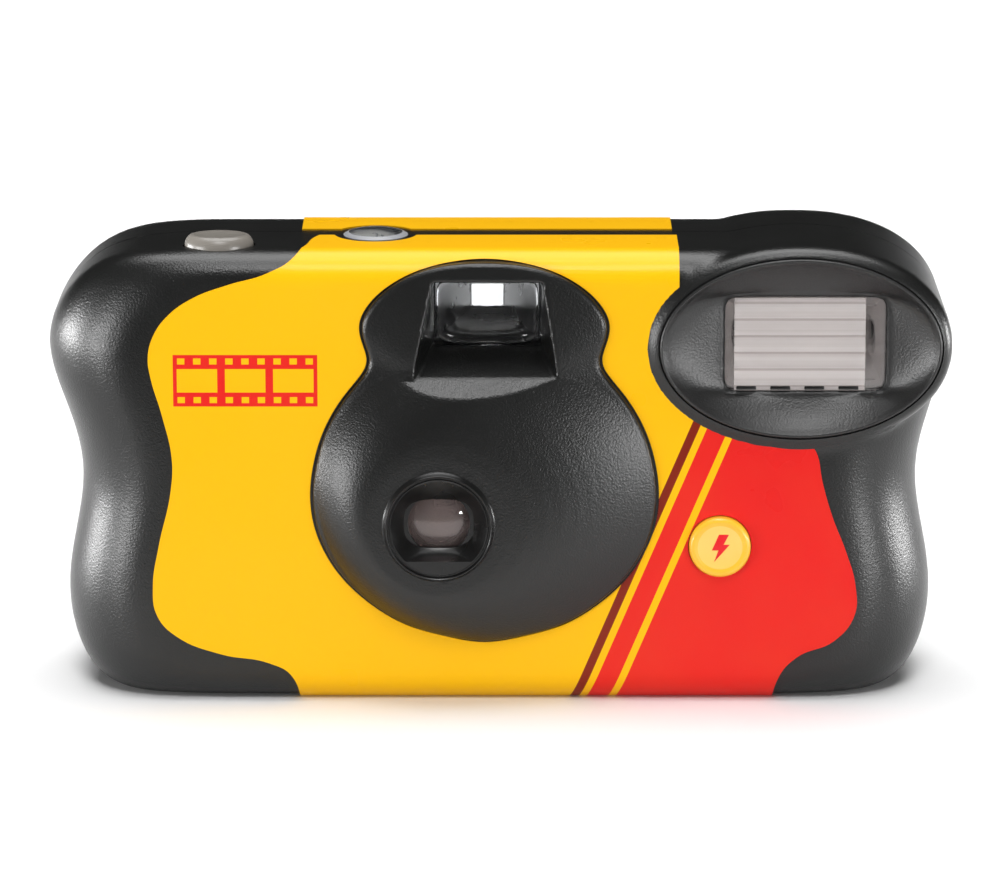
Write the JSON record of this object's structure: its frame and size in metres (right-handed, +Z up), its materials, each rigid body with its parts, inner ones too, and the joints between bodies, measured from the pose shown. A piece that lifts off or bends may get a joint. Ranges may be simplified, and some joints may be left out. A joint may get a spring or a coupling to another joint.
{
  "type": "disposable film camera",
  "caption": "Single-use 35 mm film camera: two black grained covers with hand grips, a domed lens surround with finder, an oval flash, a wind wheel and a sprung shutter release.",
  "frame": {"origin": "middle of the flat base, under the film camera's centre line", "axes": "+X to the right seen from the front, +Y from the lens toward the back, +Z up"},
  "size_m": [0.1172, 0.0371, 0.0609],
  "materials": {
    "black_grain": "fine grained satin",
    "label_yellow": "printed gloss film",
    "button_grey": "smooth",
    "button_yellow": "smooth",
    "clear_plastic": "clear",
    "black_inner": "matte",
    "cartridge_print": "printed",
    "tin": "satin",
    "film_base": "film",
    "white_plastic": "matte",
    "black_steel": "blackened",
    "spring_steel": "drawn wire",
    "bright_metal": "polished",
    "tube_glass": "clear",
    "board": "laminate",
    "capacitor_sleeve": "shrink sleeve",
    "copper_winding": "wound wire",
    "resistor_body": "lacquer",
    "battery_can": "printed sleeve",
    "contact_metal": "bright",
    "lamp_glass": "clear",
    "amber_plastic": "tinted"
  },
  "bodies": {
    "camera": {"front_cover": "black_grain", "rear_cover": "black_grain", "front_label": "label_yellow", "rear_label": "label_yellow", "counter_window": "clear_plastic", "finder_front_lens": "clear_plastic", "finder_eyepiece": "clear_plastic", "finder_tube": "black_inner", "taking_lens": "clear_plastic", "lens_holder": "black_inner", "lens_retainer": "black_inner", "main_frame": "black_inner", "cartridge_shell": "cartridge_print", "cartridge_caps": "tin", "reverse_pawl": "black_inner", "film_strip": "film_base", "shutter_spring": "spring_steel", "striker_spring": "spring_steel", "flash_window": "clear_plastic", "flash_reflector": "bright_metal", "flash_tube": "tube_glass", "circuit_board": "board", "storage_capacitor": "capacitor_sleeve", "transformer": "copper_winding", "trigger_coil": "copper_winding", "transistor": "black_inner", "resistor": "resistor_body", "battery": "battery_can", "contact_lower": "contact_metal", "contact_upper": "contact_metal", "charge_leaf": "contact_metal", "sync_leaf": "contact_metal", "ready_lamp": "lamp_glass", "ready_window": "amber_plastic"},
    "winder": {"thumbwheel": "black_inner", "cartridge_spool": "black_inner"},
    "sprocket": {"film_sprocket": "white_plastic"},
    "supply": {"supply_spool": "white_plastic", "film_roll": "film_base"},
    "counter": {"counter_wheel": "white_plastic"},
    "release": {"shutter_button": "button_grey"},
    "charge": {"charge_button": "button_yellow"},
    "blade": {"shutter_blade": "black_steel"},
    "striker": {"striker_lever": "black_inner"},
    "lever": {"release_lever": "black_inner"}
  },
  "joints": [
    {"name": "film_wind", "type": "hinge", "parent": "camera", "child": "winder", "pos_m": [-0.0388, 0.0037, 0.051], "axis": [0, 0, 1], "continuous": true, "deforming": ["film_strip"]},
    {"name": "sprocket_turn", "type": "hinge", "parent": "camera", "child": "sprocket", "pos_m": [-0.0193, 0.00855, 0.046], "axis": [0, 0, 1], "continuous": true},
    {"name": "supply_turn", "type": "hinge", "parent": "camera", "child": "supply", "pos_m": [0.0218, 0.0054, 0.0247], "axis": [0, 0, 1], "continuous": true},
    {"name": "counter_turn", "type": "hinge", "parent": "camera", "child": "counter", "pos_m": [-0.0178, -0.00345, 0.056], "axis": [0, 0, 1], "continuous": true},
    {"name": "shutter_press", "type": "slide", "parent": "camera", "child": "release", "axis": [0, 0, -1], "range_m": [0, 0.0012], "stiffness_N_per_m": 600, "springref_m": -0.0004},
    {"name": "lever_rock", "type": "hinge", "parent": "camera", "child": "lever", "pos_m": [-0.0267, -0.0056, 0.0555], "axis": [0, -1, 0], "range_deg": [0, 8.7]},
    {"name": "charge_press", "type": "slide", "parent": "camera", "child": "charge", "axis": [0, 1, 0], "range_m": [0, 0.0008], "stiffness_N_per_m": 600, "springref_m": -0.0004},
    {"name": "blade_swing", "type": "hinge", "parent": "camera", "child": "blade", "pos_m": [-0.0003, -0.01, 0.0313], "axis": [0, -1, 0], "range_deg": [0, 34], "stiffness_Nm_per_rad": 0.0004, "springref_deg": -17.19, "deforming": ["shutter_spring"]},
    {"name": "striker_swing", "type": "hinge", "parent": "camera", "child": "striker", "pos_m": [-0.0128, -0.01, 0.0412], "axis": [0, -1, 0], "range_deg": [0, 30], "stiffness_Nm_per_rad": 0.0008, "springref_deg": -17.19, "deforming": ["striker_spring"]}
  ],
  "couplings": [
    {"joint": "sprocket_turn", "follows": "film_wind", "ratio": 0.9504},
    {"joint": "supply_turn", "follows": "film_wind", "ratio": 0.6534},
    {"joint": "counter_turn", "follows": "film_wind", "ratio": -0.03168},
    {"joint": "lever_rock", "follows": "shutter_press", "rad_per_m": 125.08}
  ]
}
